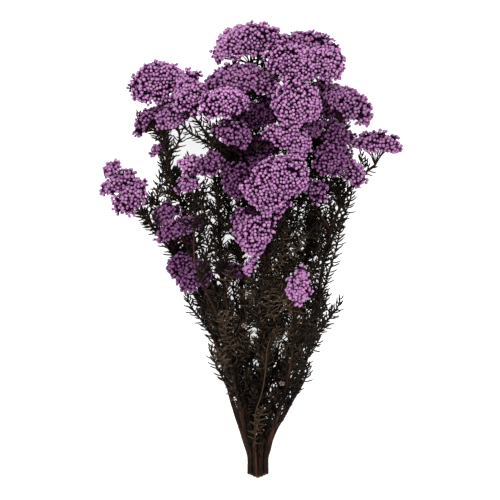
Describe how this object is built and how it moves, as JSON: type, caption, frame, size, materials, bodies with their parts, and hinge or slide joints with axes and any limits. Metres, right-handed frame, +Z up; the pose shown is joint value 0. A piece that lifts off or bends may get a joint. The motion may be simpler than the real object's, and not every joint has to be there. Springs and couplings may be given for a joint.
{
  "type": "dried flower bunch",
  "caption": "Lying bunch of dried flowering branches: woody stems gathered at their cut ends, needle leaves and domed heads of small round purple buds.",
  "frame": {"origin": "middle of the bunch's footprint, on the surface that it lies on", "axes": "+Y along the stems, from the cut ends to the flower heads; +Z up from the surface; +X to the right of a viewer who looks down with the cut ends nearest"},
  "size_m": [0.3031, 0.4586, 0.1489],
  "materials": {
    "bark_and_leaves": "matte",
    "dyed_buds": "matte"
  },
  "bodies": {
    "root": {"leafy_stem_left": "bark_and_leaves", "leafy_stem_outer_left": "bark_and_leaves", "leafy_stem_low_left": "bark_and_leaves", "leafy_stem_mid_left": "bark_and_leaves", "leafy_stem_top_left": "bark_and_leaves", "leafy_stem_top": "bark_and_leaves", "leafy_stem_top_right": "bark_and_leaves", "leafy_stem_right": "bark_and_leaves", "leafy_stem_front": "bark_and_leaves", "leafy_stem_low_right": "bark_and_leaves", "leafy_stem_under": "bark_and_leaves", "head_left_big": "dyed_buds", "head_left_back": "dyed_buds", "head_left_third": "dyed_buds", "head_left_tuft": "dyed_buds", "head_outer_left": "dyed_buds", "head_outer_inner": "dyed_buds", "head_wing_left": "dyed_buds", "head_wing_small": "dyed_buds", "head_left_small": "dyed_buds", "head_left_lower": "dyed_buds", "head_low_left": "dyed_buds", "head_low_inner": "dyed_buds", "head_front_left": "dyed_buds", "head_left_second": "dyed_buds", "head_left_bright": "dyed_buds", "head_inner_far_left": "dyed_buds", "head_top_left": "dyed_buds", "head_shoulder_left": "dyed_buds", "head_inner_left": "dyed_buds", "head_deep_top": "dyed_buds", "head_top_right": "dyed_buds", "head_top_back": "dyed_buds", "head_front_top": "dyed_buds", "head_deep_middle": "dyed_buds", "head_shoulder_right": "dyed_buds", "head_inner_right": "dyed_buds", "head_behind_right": "dyed_buds", "head_side_right": "dyed_buds", "head_tuft_right": "dyed_buds", "head_far_right": "dyed_buds", "head_low_right": "dyed_buds", "head_edge_right": "dyed_buds", "head_small_right": "dyed_buds", "head_centre": "dyed_buds", "head_centre_low": "dyed_buds", "head_centre_side": "dyed_buds", "head_front_middle": "dyed_buds", "head_deep_low": "dyed_buds", "head_low_front": "dyed_buds", "head_low_small": "dyed_buds", "head_under_top": "dyed_buds", "head_under_left": "dyed_buds", "head_under_right": "dyed_buds", "head_under_middle": "dyed_buds", "head_under_edge": "dyed_buds"}
  },
  "joints": []
}
